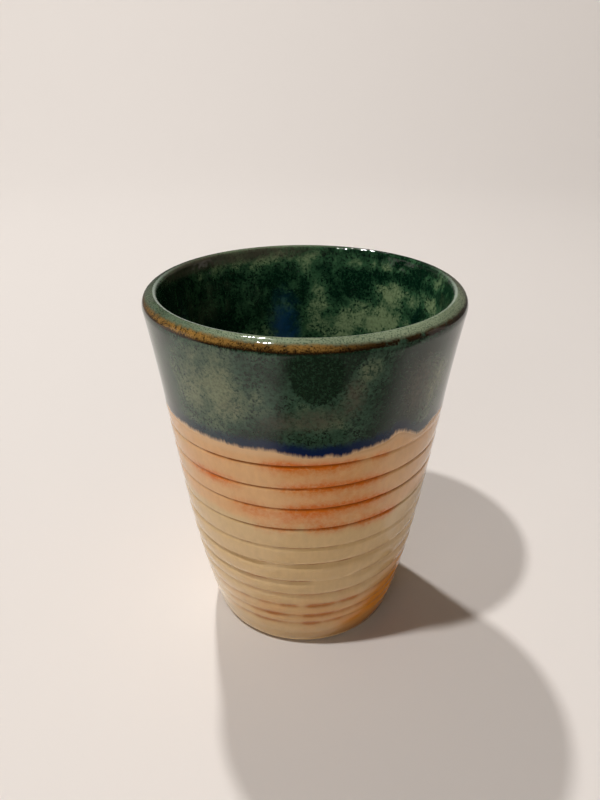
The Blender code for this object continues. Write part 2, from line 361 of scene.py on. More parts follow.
def finish(name, piece, ior, roughness):
    """Start a piece's material. Return its tree, its shader and the place on the piece in millimetres."""
    material = bpy.data.materials.new(name)
    material.use_nodes = True
    tree = material.node_tree
    shader = tree.nodes["Principled BSDF"]
    shader.inputs["IOR"].default_value = ior
    shader.inputs["Roughness"].default_value = roughness
    here = add(tree, "TexCoord", output="Object")
    place = add(tree, "VectorMath", {0: here, "Scale": 1 / MM}, operation="SCALE")
    piece.data.materials.append(material)
    return tree, shader, place


# Fired stoneware, trimmed with a loop tool: matt, sandy, with dark iron grains
CLAY = "#B98F66"
CLAY_TOASTED = "#8F6440"
IRON_GRAIN = "#4A3020"
TOAST_PATCH = 7
SAND_GRAIN = 0.5
SAND_RELIEF = 0.2
tree, shader, place = finish("fired_stoneware_trimmed", stoneware_body, ior=1.5, roughness=0.85)
toast = add(tree, "TexNoise", {"Vector": place, "Scale": 1 / TOAST_PATCH, "Detail": 4})
sand = add(tree, "TexNoise", {"Vector": place, "Scale": 1 / SAND_GRAIN, "Detail": 3})
tone = add(tree, "MixRGB", {"Fac": toast, "Color1": CLAY, "Color2": CLAY_TOASTED})
grain = add(tree, "MapRange", {"Value": sand, "From Min": 0.62, "From Max": 0.68})
shade = add(tree, "MixRGB", {"Fac": grain, "Color1": tone, "Color2": IRON_GRAIN})
tree.links.new(shade, shader.inputs["Base Color"])
relief = add(tree, "Bump", {"Height": sand, "Strength": 0.5, "Distance": SAND_RELIEF * MM})
tree.links.new(relief, shader.inputs["Normal"])
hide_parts("stoneware_body")
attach(stoneware_body, "root")

# LINER GLAZE
# The inside coat: a green ash glaze poured in, swirled round and poured out again. It is glassy, and where
# it lay thick it fired dark, where thin it shows sage clouds.
GLAZE = 0.84
UNDER_GLAZE = 0.04
LINER_STEPS = 300
LINER_FLOOR_ROWS = 20
# Rows of points on the liner's back and on its face: coat, on the wall, in the corner
LINER_ROWS = ((UNDER_GLAZE, 24, 10), (GLAZE, 150, 40))
liner_angle = around(LINER_STEPS)
liner_floor = np.linspace(corner_centre[0], 0, LINER_FLOOR_ROWS)[1:]
liner_rows = []
for coat, wall_rows, corner_rows in LINER_ROWS:
    wall_heights = np.linspace(DIP_END, inner_low[1], wall_rows)
    corner_angles = np.linspace(-floor_lean, -math.pi / 2, corner_rows)[1:]
    rows = [
        on_wall(inner_wall, wall_heights, coat, INSIDE),
        on_arc(corner_centre, -INSIDE_CORNER, corner_angles, coat),
        (liner_floor, np.full_like(liner_floor, FLOOR_HEIGHT + coat)),
    ]
    liner_rows.append([np.concatenate(parts) for parts in zip(*rows)])
liner_line = [np.concatenate((back[::-1], face)) for back, face in zip(*liner_rows)]
liner_grid = level_rows(liner_angle, liner_line)


def clouds(angle, height, spots):
    """Return how strongly soft spots lie on the wall: angle and height, their half widths, and weight."""
    total = np.zeros(np.broadcast(angle, height).shape)
    for at, up, wide, tall, weight in spots:
        turn = np.remainder(angle - math.radians(at) + math.pi, 2 * math.pi) - math.pi
        total += weight * np.exp(-((turn / math.radians(wide)) ** 2) - ((height - up) / tall) ** 2)
    return total


# Where the liner ran thin, or pooled: angle, height, half width in degrees, half height, weight
LINER_LEVEL = 0.2
LINER_THIN = (
    (139, 80, 14, 6, 0.68),
    (160, 76, 9, 5, 0.5),
    (152, 81, 7, 4, 0.3),
    (128, 84, 7, 3.5, 0.3),
    (102, 91, 8, 2.5, 0.6),
    (128, 90, 15, 2.5, 0.45),
    (107, 81, 8, 4, 0.6),
    (173, 86, 5, 5.5, 0.5),
    (172, 77, 8, 4, 0.35),
    (104, 97.5, 10, 1.5, 0.35),
    (146, 96.5, 14, 2.0, 0.45),
    (186, 97, 22, 2.2, 0.5),
    (222, 97, 16, 2.5, 0.45),
    (140, 55, 35, 12, 0.5),
    (40, 70, 40, 25, 0.4),
    (-30, 55, 35, 20, 0.3),
    (200, 45, 20, 15, 0.3),
    (114, 86.5, 4, 3, -0.3),
    (128, 94.5, 26, 1.6, -0.4),
    (160, 89, 6, 6, -0.15),
)
LINER_BLUE = ((191, 74, 9, 13, 1.15), (-60, 60, 8, 14, 0.7))
liner_thin = LINER_LEVEL + clouds(liner_angle, liner_grid[1], LINER_THIN)
liner_blue = clouds(liner_angle, liner_grid[1], LINER_BLUE)
liner_glaze = thrown(
    "poured_liner", liner_angle, [liner_grid], {"thin": [liner_thin], "blue": [liner_blue]}
)

POOLED = "#062416"
LINER_LEAF = "#33573A"
LINER_SAGE = "#82966C"
COBALT = "#103C62"
LINER_SWING = 2.4
CLOUD_SIZE = 7
GRAIN_SIZE = 0.8
CLUSTER_SIZE = 6 * GRAIN_SIZE
BLUE_BREAK = 3
RIPPLE_SIZE = 4
RIPPLE_RELIEF = 0.1
SOFT = {"interpolation_type": "SMOOTHSTEP"}


def ash_green(tree, place, pooled, leaf, sage, swing):
    """Return the colour of the green ash glaze on a piece whose mark "thin" says how thin it lies.

    It is nearly black where thick, leaf green where thinner, sage where thinnest, and grainy with ash."""
    thin = add(tree, "Attribute", output="Fac", attribute_name="thin")
    shape = {"Scale": 1 / CLOUD_SIZE, "Detail": 7, "Roughness": 0.64, "Distortion": 0.4}
    cloud = add(tree, "TexNoise", {"Vector": place, **shape})
    cloud = add(tree, "Math", {0: cloud, 1: 0.5}, operation="SUBTRACT")
    share = add(tree, "Math", {0: cloud, 1: swing, 2: thin}, operation="MULTIPLY_ADD")
    cluster = add(tree, "TexNoise", {"Vector": place, "Scale": 1 / CLUSTER_SIZE, "Detail": 2})
    sand = add(tree, "TexNoise", {"Vector": place, "Scale": 1 / GRAIN_SIZE, "Detail": 4, "Roughness": 0.75})
    grain = add(tree, "MapRange", {"Value": sand, "From Min": 0.5, "From Max": 0.62}, **SOFT)
    shares = {"From Min": 0.38, "From Max": 0.66, "To Min": -0.15, "To Max": -0.85}
    grainy = add(tree, "MapRange", {"Value": cluster, **shares})
    shares = {"From Min": 0.5, "From Max": 1, "To Min": 1, "To Max": 0.3}
    smooth = add(tree, "MapRange", {"Value": thin, **shares})
    grain = add(tree, "Math", {0: grain, 1: smooth}, operation="MULTIPLY")
    share = add(tree, "Math", {0: grain, 1: grainy, 2: share}, operation="MULTIPLY_ADD")
    leafy = add(tree, "MapRange", {"Value": share, "From Min": 0, "From Max": 0.5}, **SOFT)
    ash = add(tree, "MapRange", {"Value": sand, "From Min": 0.5, "From Max": 0.36, "To Max": 0.35}, **SOFT)
    leafy = add(tree, "Math", {0: leafy, 1: ash}, operation="MAXIMUM")
    tone = add(tree, "MixRGB", {"Fac": leafy, "Color1": pooled, "Color2": leaf})
    pale = add(tree, "MapRange", {"Value": share, "From Min": 0.4, "From Max": 1}, **SOFT)
    tone = add(tree, "MixRGB", {"Fac": pale, "Color1": tone, "Color2": sage})
    shares = {"From Min": 0.36, "From Max": 0.64, "To Min": 1.25, "To Max": 0.75}
    speck = add(tree, "MapRange", {"Value": sand, **shares})
    return add(tree, "MixRGB", {"Fac": 1, "Color1": tone, "Color2": speck}, blend_type="MULTIPLY")


def rippled(tree, shader, place):
    """Give a glaze the slow ripple and the uneven gloss that it keeps from the kiln."""
    ripple = add(tree, "TexNoise", {"Vector": place, "Scale": 1 / RIPPLE_SIZE, "Detail": 2})
    shares = {"From Min": 0.3, "From Max": 0.7, "To Min": 0.04, "To Max": 0.11}
    gloss = add(tree, "MapRange", {"Value": ripple, **shares})
    tree.links.new(gloss, shader.inputs["Roughness"])
    relief = add(tree, "Bump", {"Height": ripple, "Strength": 0.25, "Distance": RIPPLE_RELIEF * MM})
    tree.links.new(relief, shader.inputs["Normal"])
    return relief


# Green ash glaze, poured: glass over the clay, clouded from nearly black to sage, with a cobalt run
tree, shader, place = finish("green_ash_glaze_poured", liner_glaze, ior=1.5, roughness=0.07)
tone = ash_green(tree, place, POOLED, LINER_LEAF, LINER_SAGE, LINER_SWING)
blue = add(tree, "Attribute", output="Fac", attribute_name="blue")
break_up = add(tree, "TexNoise", {"Vector": place, "Scale": 1 / BLUE_BREAK, "Detail": 5, "Roughness": 0.6})
blue = add(tree, "Math", {0: blue, 1: break_up}, operation="MULTIPLY")
blue = add(tree, "MapRange", {"Value": blue, "From Min": 0.1, "From Max": 0.7}, **SOFT)
shade = add(tree, "MixRGB", {"Fac": blue, "Color1": tone, "Color2": COBALT})
tree.links.new(shade, shader.inputs["Base Color"])
rippled(tree, shader, place)
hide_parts("liner_glaze")
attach(liner_glaze, "root")

# CREAM GLAZE
# The outside coat under the dip: a cream glaze over the grooved wall, from just above the foot. It breaks
# rust along the throwing line, where it runs thin over iron in the clay.
CREAM_START = math.radians(-58)
CREAM_START_ROWS = 12
CREAM_STEPS = 348
CREAM_BACK = 0.12
TUCK = 1.2
TUCK_LEAD = 0.2
TUCK_COAT = 0.42
# How far the dip sagged, and where it ran further or stayed: angle, half width in degrees, rise
DIP_SAG = 1.25
DIP_RUNS = (
    (-12, 5, 0.3),
    (0, 6, -1.0),
    (12, 8, -1.3),
    (36, 5.4, 2.0),
    (49, 6, -1.5),
    (80, 9, -0.8),
    (118, 16, 1.1),
    (142, 7, 0.5),
    (165, 12, -1.4),
    (-95, 9, 0.7),
    (-135, 15, -1.0),
    (-162, 7, 0.6),
)


def all_up(angle, spots):
    """Return how strongly soft spots lie round the wall, all the way up: angle, half width, and weight."""
    return clouds(angle, 0, [(at, 0, wide, 1, weight) for at, wide, weight in spots])


def dip_edge_at(angle):
    """Return the height of the dip's wavy lower edge."""
    return DIP_EDGE - DIP_SAG + all_up(angle, DIP_RUNS)


cream_angle = around(CREAM_STEPS)
cream_edge = dip_edge_at(cream_angle)
cream_top = cream_edge + TUCK


def cream_coat(height):
    """Return the cream coat's thickness: full on the wall, thinned where it runs under the dip."""
    return GLAZE - (GLAZE - TUCK_COAT) * eased((height - cream_edge + TUCK_LEAD) / TUCK)


cream_radius, cream_height, band = grooved_wall(cream_angle, outer_low[1], cream_top, cream_coat, FACE_ROWS)
back_radius, back_height, _ = grooved_wall(cream_angle, outer_low[1], cream_top, CREAM_BACK, BACK_ROWS)
start_angle = np.linspace(CREAM_START, -BASE_LEAN, CREAM_START_ROWS)
start_swell = np.sqrt(1 - np.linspace(1, 0, CREAM_START_ROWS) ** 3)
start_coat = CREAM_BACK + (GLAZE - CREAM_BACK) * start_swell
start_rows = level_rows(cream_angle, on_arc(base_centre, BASE_ROUND, start_angle, start_coat))
under_rows = level_rows(cream_angle, on_arc(base_centre, BASE_ROUND, start_angle, CREAM_BACK))
top_rows = np.stack((back_radius[-1], cream_radius[-1])), np.stack((back_height[-1], cream_height[-1]))
cream_patches = [start_rows, (cream_radius, cream_height), under_rows, (back_radius, back_height), top_rows]

# Rust along the throwing line, and brown smudges along its lower turns: turn from the lower end, half width
# in turns, strength
RUST_RUNS = (
    (10.205, 0.055, 1.05),
    (10.28, 0.014, 0.55),
    (10.11, 0.03, 0.35),
    (9.092, 0.045, 0.5),
    (9.232, 0.064, 0.95),
    (8.139, 0.026, 0.45),
    (8.24, 0.065, 1.0),
    (7.168, 0.03, 0.55),
    (7.228, 0.03, 0.75),
    (7.285, 0.036, 0.9),
    (9.56, 0.1, 0.9),
    (9.83, 0.06, 0.7),
    (8.52, 0.05, 0.6),
    (8.74, 0.1, 0.85),
    (7.5, 0.04, 0.5),
    (7.78, 0.09, 0.8),
)
SMUDGES = (
    (7.228, 0.026, 0.35),
    (4.15, 0.055, 0.35),
    (3.2, 0.12, 0.35),
    (2.3, 0.09, 0.45),
    (2.1, 0.075, 0.45),
    (2.179, 0.015, 0.75),
    (2.226, 0.024, 1.0),
    (2.265, 0.02, 0.85),
    (2.32, 0.04, 0.6),
    (1.2, 0.14, 0.5),
    (1.16, 0.036, 0.75),
    (1.222, 0.028, 0.95),
    (1.27, 0.03, 0.65),
    (0.18, 0.12, 0.45),
    (0.135, 0.04, 0.65),
    (0.212, 0.018, 0.9),
    (0.25, 0.02, 0.6),
    (2.47, 0.05, 0.6),
    (2.63, 0.06, 0.45),
    (2.79, 0.045, 0.8),
    (2.96, 0.07, 0.5),
    (1.42, 0.04, 0.6),
    (1.57, 0.06, 0.7),
    (1.76, 0.08, 0.45),
    (1.94, 0.04, 0.7),
    (0.42, 0.05, 0.6),
    (0.61, 0.06, 0.45),
    (0.83, 0.05, 0.7),
)
# Rust that spread over the wall: angle, height, half widths, weight
BLUSH = (
    (-4, 52.2, 16, 2.6, 0.32),
    (-22, 52.3, 8, 1.6, 0.2),
    (-38, 59.6, 12, 2.0, 0.3),
    (-56, 64, 12, 2.0, 0.15),
    (8, 70, 12, 1.4, 0.2),
    (120, 60, 30, 4, 0.25),
    (-150, 52, 30, 3, 0.3),
)
RUST_ABOVE = 1.7
RUST_BELOW = 1.8
SMUDGE_WIDTH = 1.1
# The line's darkness is iron stain in the groove on the upper turns and painted groove shade on the middle
# ones
# How dark the throwing line is drawn: turn from the lower end, darkness, and its widths above and below
LINE_STAIN_AND_SHADE = ((2.6, 0.12), (3.4, 0.5), (6.4, 0.55), (7.1, 0.8), (7.9, 1.0))
LINE_ABOVE = 0.2
LINE_BELOW = 0.38
# Where the cream is warmer or cooler, pooled ochre, or pale with milk and sheen: angle, height, half
# widths, weight
WARM_FROM = 47.0
WARM_EASE = 5.0
WARM_SPOTS = ((10, 14, 60, 8, 0.5), (-62, 60, 18, 14, -0.4))
OCHRE_POOLS = (
    (44, 13, 12, 5, 1.0),
    (60, 16, 14, 9, 1.0),
    (28, 8.5, 9, 2.5, 0.5),
    (14, 14, 28, 5, 0.27),
    (46, 4, 28, 5, 0.75),
    (-26, 52, 9, 2.2, 0.2),
    (-38, 59.5, 9, 1.3, 0.15),
    (-140, 12, 25, 5, 0.5),
)
# Pale: painted sheen, the lit floor's reflection, low on the front left; milky cream at the back
MILK_AND_SHEEN = ((-66, 6, 26, 16, 0.75), (-68, 30, 14, 8, 0.25), (-150, 30, 30, 15, 0.3))
# Painted shade, brown above the foot and most on the right: angle and half width in degrees, weight
FOOT_SHADE = ((52, 52, 1.0), (-170, 25, 0.4))
FOOT_SHADE_TOP = 8.5
FOOT_SHADE_EASE = 7.0
FAR_BELOW = 60.0


def runs_at(turn, runs):
    """Return how strong a mark is along the throwing line."""
    total = np.zeros(turn.shape)
    for place, half_width, weight in runs:
        total = np.maximum(total, weight * np.exp(-(((turn - place) / half_width) ** 4)))
    return total


def line_at(turn, away, width):
    """Return how dark the throwing line is: sharp iron stain up high, painted groove shade below, faint
    lowest.
    """
    dark = np.interp(turn, *zip(*LINE_STAIN_AND_SHADE))
    return dark * groove_depth(turn) / GROOVE_DEPTH * np.exp(-((away / width) ** 2))


band_turn = band["turn"]
above = np.clip(band["above"], 0, None)
below = np.clip(band["below"], 0, None)
line = line_at(band_turn, above, LINE_ABOVE) + line_at(band_turn + 1, below, LINE_BELOW)
rust = runs_at(band_turn, RUST_RUNS) * np.exp(-above / RUST_ABOVE)
rust += runs_at(band_turn + 1, RUST_RUNS) * np.exp(-below / RUST_BELOW)
rust += clouds(cream_angle, band["height"], BLUSH)
brown = runs_at(band_turn, SMUDGES) * np.exp(-((above / SMUDGE_WIDTH) ** 2))
brown += runs_at(band_turn + 1, SMUDGES) * np.exp(-((below / SMUDGE_WIDTH) ** 2))
below_dip = cream_edge - band["height"]
warm = eased((band["height"] - WARM_FROM) / WARM_EASE) + clouds(cream_angle, band["height"], WARM_SPOTS)
ochre = clouds(cream_angle, band["height"], OCHRE_POOLS)
# Painted shade above the foot
foot = eased((FOOT_SHADE_TOP - band["height"]) / FOOT_SHADE_EASE) * all_up(cream_angle, FOOT_SHADE)
milk_and_sheen = clouds(cream_angle, band["height"], MILK_AND_SHEEN)


def with_plain(values, plain=0.0):
    """Return a mark's values for all patches of the cream coat, plain where only its face is marked."""
    return [
        np.full(patch[0].shape, plain) if index != 1 else np.broadcast_to(values, patch[0].shape)
        for index, patch in enumerate(cream_patches)
    ]


cream_glaze = thrown(
    "cream_coat",
    cream_angle,
    cream_patches,
    {
        "line": with_plain(line * band["plain"]),
        "rust": with_plain(rust * band["plain"]),
        "brown": with_plain(brown * band["plain"]),
        "below_dip": with_plain(below_dip, FAR_BELOW),
        "warm": with_plain(warm),
        "ochre": with_plain(ochre),
        "foot": with_plain(foot),
        "milk_and_sheen": with_plain(milk_and_sheen),
    },
)

# Cream glaze, dipped: glossy and milky, beige below and warmer above, streaked where it ran down. Along the
# throwing line iron from the clay stains it rust, and where it pooled on one side it is ochre.
CREAM = "#CFAF7E"
CREAM_WARM = "#D6A671"
CREAM_PALE = "#D2AC82"
CREAM_MILK_AND_SHEEN = "#E0D2BA"
RUST = "#CA6818"
LINE_STAIN_AND_SHADE_BROWN = "#82420F"
BROWN = "#A8621A"
OCHRE = "#CC7E10"
FOOT_SHADE_BROWN = "#7A4A16"
# Widths of clouds, streaks and freckles, and the share of a height that counts, which draws streaks out
CREAM_CLOUD = 6
CREAM_STREAK = 1.6
CREAM_RUN = 0.5
RUST_FRECKLE = 1.3
CLOUD_WARMTH = 1.2
PALE_UNDER_DIP = {"From Min": 2.2, "From Max": 0.3}
tree, shader, place = finish("cream_glaze_dipped", cream_glaze, ior=1.5, roughness=0.1)
run = add(tree, "VectorMath", {0: place, 1: (1, 1, CREAM_RUN)}, operation="MULTIPLY")
cloud = add(tree, "TexNoise", {"Vector": place, "Scale": 1 / CREAM_CLOUD, "Detail": 4})
streak = add(tree, "TexNoise", {"Vector": run, "Scale": 1 / CREAM_STREAK, "Detail": 5, "Roughness": 0.65})
warm = add(tree, "Attribute", output="Fac", attribute_name="warm")
warm = add(tree, "Math", {0: cloud, 1: CLOUD_WARMTH, 2: warm}, operation="MULTIPLY_ADD")
warm = add(tree, "MapRange", {"Value": warm, "From Min": 0.65, "From Max": 1.5}, **SOFT)
tone = add(tree, "MixRGB", {"Fac": warm, "Color1": CREAM, "Color2": CREAM_WARM})
shares = {"From Min": 0.3, "From Max": 0.7, "To Min": 0.92, "To Max": 1.04}
milky = add(tree, "MapRange", {"Value": streak, **shares})
tone = add(tree, "MixRGB", {"Fac": 1, "Color1": tone, "Color2": milky}, blend_type="MULTIPLY")
# Pale: milky cream, and painted sheen low on the front left
milk_and_sheen = add(tree, "Attribute", output="Fac", attribute_name="milk_and_sheen")
tone = add(tree, "MixRGB", {"Fac": milk_and_sheen, "Color1": tone, "Color2": CREAM_MILK_AND_SHEEN})
ochre = add(tree, "Attribute", output="Fac", attribute_name="ochre")
tone = add(tree, "MixRGB", {"Fac": ochre, "Color1": tone, "Color2": OCHRE})
brown = add(tree, "Attribute", output="Fac", attribute_name="brown")
brown = add(tree, "Math", {0: brown, 1: cloud}, operation="MULTIPLY")
brown = add(tree, "MapRange", {"Value": brown, "From Min": 0.03, "From Max": 0.45, "To Max": 0.9}, **SOFT)
tone = add(tree, "MixRGB", {"Fac": brown, "Color1": tone, "Color2": BROWN})
rust = add(tree, "Attribute", output="Fac", attribute_name="rust")
freckle = add(tree, "TexNoise", {"Vector": place, "Scale": 1 / RUST_FRECKLE, "Detail": 5, "Roughness": 0.7})
rust = add(tree, "Math", {0: rust, 1: freckle}, operation="MULTIPLY")
rust = add(tree, "MapRange", {"Value": rust, "From Min": 0.03, "From Max": 0.43}, **SOFT)
tone = add(tree, "MixRGB", {"Fac": rust, "Color1": tone, "Color2": RUST})
edge = add(tree, "Attribute", output="Fac", attribute_name="below_dip")
edge = add(tree, "MapRange", {"Value": edge, **PALE_UNDER_DIP, "To Max": 0.7}, **SOFT)
tone = add(tree, "MixRGB", {"Fac": edge, "Color1": tone, "Color2": CREAM_PALE})
# Throwing line: iron stain on the upper turns, painted groove shade on the middle ones
line = add(tree, "Attribute", output="Fac", attribute_name="line")
drawn = add(tree, "MapRange", {"Value": cloud, "From Min": 0.38, "From Max": 0.55, "To Min": 0.6}, **SOFT)
line = add(tree, "Math", {0: line, 1: drawn}, operation="MULTIPLY")
line = add(tree, "MapRange", {"Value": line, "From Min": 0.06, "From Max": 0.8, "To Max": 0.8}, **SOFT)
tone = add(tree, "MixRGB", {"Fac": line, "Color1": tone, "Color2": LINE_STAIN_AND_SHADE_BROWN})
# Painted shade, brown towards the foot
foot = add(tree, "Attribute", output="Fac", attribute_name="foot")
shade = add(tree, "MixRGB", {"Fac": foot, "Color1": tone, "Color2": FOOT_SHADE_BROWN})
tree.links.new(shade, shader.inputs["Base Color"])
rippled(tree, shader, place)
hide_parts("cream_glaze")
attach(cream_glaze, "root")

# DIP GLAZE
# The green rim: the cup was held upside down and dipped in the green glaze, over the cream. The glaze ran
# a little at its edge, turned blue over the cream there, and broke ochre on the lip's shoulder.
DIP_STEPS = 440
DIP_ROWS = {"run": 9, "collar": 46, "shoulder": 26, "edge": 18, "inside": 14}
# The lower edge is a low roll: the collar's share that it takes, its rise, and the heights over which the
# coat swells to it, falls to the plain coat and leaves the cream coat under it
ROLL_SHARE = 0.06
ROLL_RISE = 0.06
ROLL_START = 0.03
ROLL_SWELLS_OVER = 0.5
ROLL_FALLS_OVER = 3.0
dip_angle = around(DIP_STEPS)
dip_edge = dip_edge_at(dip_angle)
run_share = np.linspace(0, ROLL_SHARE, DIP_ROWS["run"])
collar_share = np.concatenate((run_share, np.linspace(ROLL_SHARE, 1, DIP_ROWS["collar"])[1:]))
lip_angles = np.linspace(-RIM_LEAN, lip_turn, DIP_ROWS["shoulder"])[1:]
edge_angles = np.linspace(lip_turn, math.pi - lip_lean, DIP_ROWS["edge"])[1:]
inside_heights = np.linspace(inner_high[1], DIP_END, DIP_ROWS["inside"])[1:]
dip_faces = []
for under in (True, False):
    height = dip_edge + collar_share[:, None] * (outer_high[1] - dip_edge)
    up = height - dip_edge
    if under:
        coat = UNDER_GLAZE + TUCK_COAT * (1 - eased(up / ROLL_FALLS_OVER))
        lip_coat = UNDER_GLAZE
    else:
        coat = GLAZE - ROLL_START + (ROLL_RISE + ROLL_START) * eased(up / ROLL_SWELLS_OVER)
        coat = coat - ROLL_RISE * eased((up - ROLL_SWELLS_OVER) / ROLL_FALLS_OVER)
        lip_coat = GLAZE
    collar = on_wall(outer_wall, height, coat, OUTSIDE)
    lip_rows = [
        on_arc(shoulder_centre, LIP_SHOULDER, lip_angles, lip_coat),
        on_arc(edge_centre, LIP_EDGE, edge_angles, lip_coat),
        on_wall(inner_wall, inside_heights, lip_coat, INSIDE),
    ]
    lip_line = [np.concatenate(parts) for parts in zip(*lip_rows)]
    lip_grid = level_rows(dip_angle, lip_line)
    dip_faces.append([np.concatenate(parts) for parts in zip(collar, lip_grid)])
dip_back, dip_face = dip_faces
dip_grid = [np.concatenate((face, back[::-1], face[:1])) for face, back in zip(dip_face, dip_back)]
face_rows = len(dip_face[0])
lip_start = len(collar_share)
section_step = np.hypot(np.diff(dip_face[0][:, 0]), np.diff(dip_face[1][:, 0]))
along = np.concatenate(([0], np.cumsum(section_step)))
along = along - along[lip_start - 1] - RIM_LEAN * (LIP_SHOULDER + GLAZE)

# Marks on the dip: height above its edge, way along the section from the collar over the lip, share inside
FAR_ABOVE = 30.0
FAR_FROM_LIP = -60.0
INSIDE_FROM = 4.0
INSIDE_EASE = 1.5
above_edge = np.full(dip_grid[0].shape, FAR_ABOVE)
above_edge[:lip_start] = height - dip_edge
above_edge[-1] = 0
on_lip = np.full(dip_grid[0].shape, FAR_FROM_LIP)
on_lip[:face_rows] = along[:, None]
inside = np.zeros(dip_grid[0].shape)
inside[:face_rows] = eased((along[:, None] - INSIDE_FROM) / INSIDE_EASE)
# Where the dip ran thin, or pooled: angle, height, half width in degrees, half height, weight
DIP_LEVEL = 0.4
DIP_THIN = (
    (-29, 87, 13, 9, 0.55),
    (-46, 83, 9, 9, 0.3),
    (52, 84, 9, 10, 0.5),
    (-17, 94, 7, 4, -0.2),
    (-10, 90, 5, 3, -0.35),
    (-15, 77, 8, 3, -0.3),
    (35, 80, 8, 8, -0.45),
    (35, 93, 7, 3, -0.25),
    (-56, 80, 8, 10, -0.25),
    (-60, 76, 7, 3, -0.3),
    (3, 79, 10, 4, 0.2),
    (27, 83, 6, 8, -0.15),
    (41, 94, 9, 2.5, -0.45),
    (0, 75.5, 34, 2.5, -0.1),
    (110, 86, 22, 9, 0.4),
    (-160, 84, 25, 10, 0.45),
    (150, 90, 14, 6, -0.35),
    (-115, 88, 15, 8, -0.3),
    (80, 80, 12, 8, -0.25),
    (-85, 86, 12, 8, -0.2),
    (-95, 101, 25, 4, -0.35),
    (36, 86, 8, 12, -0.22),
    (59, 94, 8, 5, -0.35),
    (-52, 93, 6, 4, -0.25),
    (-20, 89, 5, 6, -0.15),
    (-20, 75, 6, 3, -0.2),
    (-10, 81, 4, 3, -0.2),
    (0, 84.5, 5, 3, 0.2),
    (20, 93, 4, 3, 0.3),
)
# Dark tongues with a firm edge: angle, height, half widths, weight
TONGUES_AND_REFLECTION = (
    # At the front: a painted dark reflection, drawn as a tongue
    (6, 98, 13, 4.5, 0.9),
    (4, 91.5, 8.5, 6.5, 0.9),
    # Elsewhere: thick tongues that ran down from the lip
    (121, 98, 13, 4, 0.9),
    (124, 91, 7, 6, 0.8),
    (-98, 94, 9, 7, 0.9),
    (-172, 95, 8, 5, 0.8),
)
TONGUE_AND_REFLECTION_DEPTH = 0.7
TONGUE_AND_REFLECTION_EDGE = 0.36
TONGUE_AND_REFLECTION_EASE = 0.1
# How uneven that edge is: size, waves round the rim, radians in a millimetre of height
TONGUE_AND_REFLECTION_WAVES = ((0.04, 29, 0.5), (0.03, 53, -0.8))
uneven = sum(size * np.sin(waves * dip_angle + rate * dip_grid[1]) for size, waves, rate in TONGUE_AND_REFLECTION_WAVES)
# Tongues, and the painted dark reflection at the front
tongues_and_reflection = clouds(dip_angle, dip_grid[1], TONGUES_AND_REFLECTION) + uneven
tongues_and_reflection = eased((tongues_and_reflection - TONGUE_AND_REFLECTION_EDGE) / TONGUE_AND_REFLECTION_EASE)
outside_thin = DIP_LEVEL + clouds(dip_angle, dip_grid[1], DIP_THIN) - TONGUE_AND_REFLECTION_DEPTH * tongues_and_reflection
inside_thin = LINER_LEVEL + clouds(dip_angle, dip_grid[1], LINER_THIN)
dip_thin = outside_thin + (inside_thin - outside_thin) * inside
# Where iron from the clay came through brown: angle, height, half widths, weight
IRON_LEVEL = 0.1
IRON_SPOTS = (
    (-10, 80, 9, 4, 0.4),
    (5, 81, 9, 4, 0.5),
    (16, 87, 5, 6, 0.5),
    (43, 85, 11, 12, 0.55),
    (-25, 83, 6, 4, 0.3),
    (100, 84, 16, 8, 0.6),
    (-120, 82, 14, 6, 0.5),
    (170, 88, 12, 5, 0.45),
    (88, 101, 24, 3.5, 0.9),
)
# Inside, browner just under the rim: angle, height, half widths, weight
INSIDE_BROWN_SPOTS = (
    (205, 99, 40, 3, 0.75),
    (-110, 99.5, 25, 2.4, 0.6),
    (100, 99.5, 20, 2, 0.4),
    (20, 99.5, 30, 2.4, 0.5),
)
outside_brown = IRON_LEVEL + clouds(dip_angle, dip_grid[1], IRON_SPOTS)
inside_brown = clouds(dip_angle, dip_grid[1], INSIDE_BROWN_SPOTS)
dip_brown = outside_brown + (inside_brown - outside_brown) * inside
# Marks round the rim, each by angle and half width in degrees, and weight: where the edge ran thick enough
# to turn blue, where the lip broke gold, where its top fired celadon, and a painted highlight on its inner
# edge
BLUE_LEVEL = 0.45
BLUE_RUNS = ((4, 30, 0.6), (120, 25, 0.4), (-160, 40, 0.5), (-100, 15, 0.3))
RIM_GOLD = ((-38, 34, 1.0), (2, 12, 0.6), (52, 20, 0.12), (165, 32, 0.7), (-125, 22, 0.45), (105, 14, 0.4))
RIM_PALE = ((-15, 32, 0.85), (38, 28, 0.85), (72, 16, 0.5), (-75, 18, 0.3), (-150, 25, 0.4), (180, 20, 0.4))
RIM_HIGHLIGHT = ((-35, 28, 0.8), (-80, 26, 0.5), (78, 22, 0.5), (25, 20, 0.25))
rim_marks = {
    "blue": BLUE_LEVEL + all_up(dip_angle, BLUE_RUNS),
    "gold": all_up(dip_angle, RIM_GOLD),
    "crest": all_up(dip_angle, RIM_PALE),
    "painted_highlight": all_up(dip_angle, RIM_HIGHLIGHT),
}
rim_marks = {mark: [np.broadcast_to(values, dip_grid[0].shape)] for mark, values in rim_marks.items()}
dip_glaze = thrown(
    "dipped_rim",
    dip_angle,
    [tuple(dip_grid)],
    {
        "above_edge": [above_edge],
        "on_lip": [on_lip],
        "inside": [inside],
        "thin": [dip_thin],
        "brown": [dip_brown],
        **rim_marks,
    },
)

# Green ash glaze, dipped: softer clouds than inside, dark specks, and a streaked navy edge where it ran
# over the cream. On the lip it is thin: brown and gold on the shoulder, celadon on top, a painted edge
# highlight.
DIP_POOLED = "#15281A"
DIP_LEAF = "#324A3A"
DIP_SAGE = "#697156"
DIP_BROWN = "#544F42"
NAVY = "#0A1C40"
LIP_LINE = "#201204"
LIP_DARK = "#1C1208"
LIP_GOLD = "#967138"
CELADON = "#8F9A7C"
LIP_HIGHLIGHT = "#C4CEC2"
DIP_SWING = 1.35
IRON_MOTTLE = 1.4
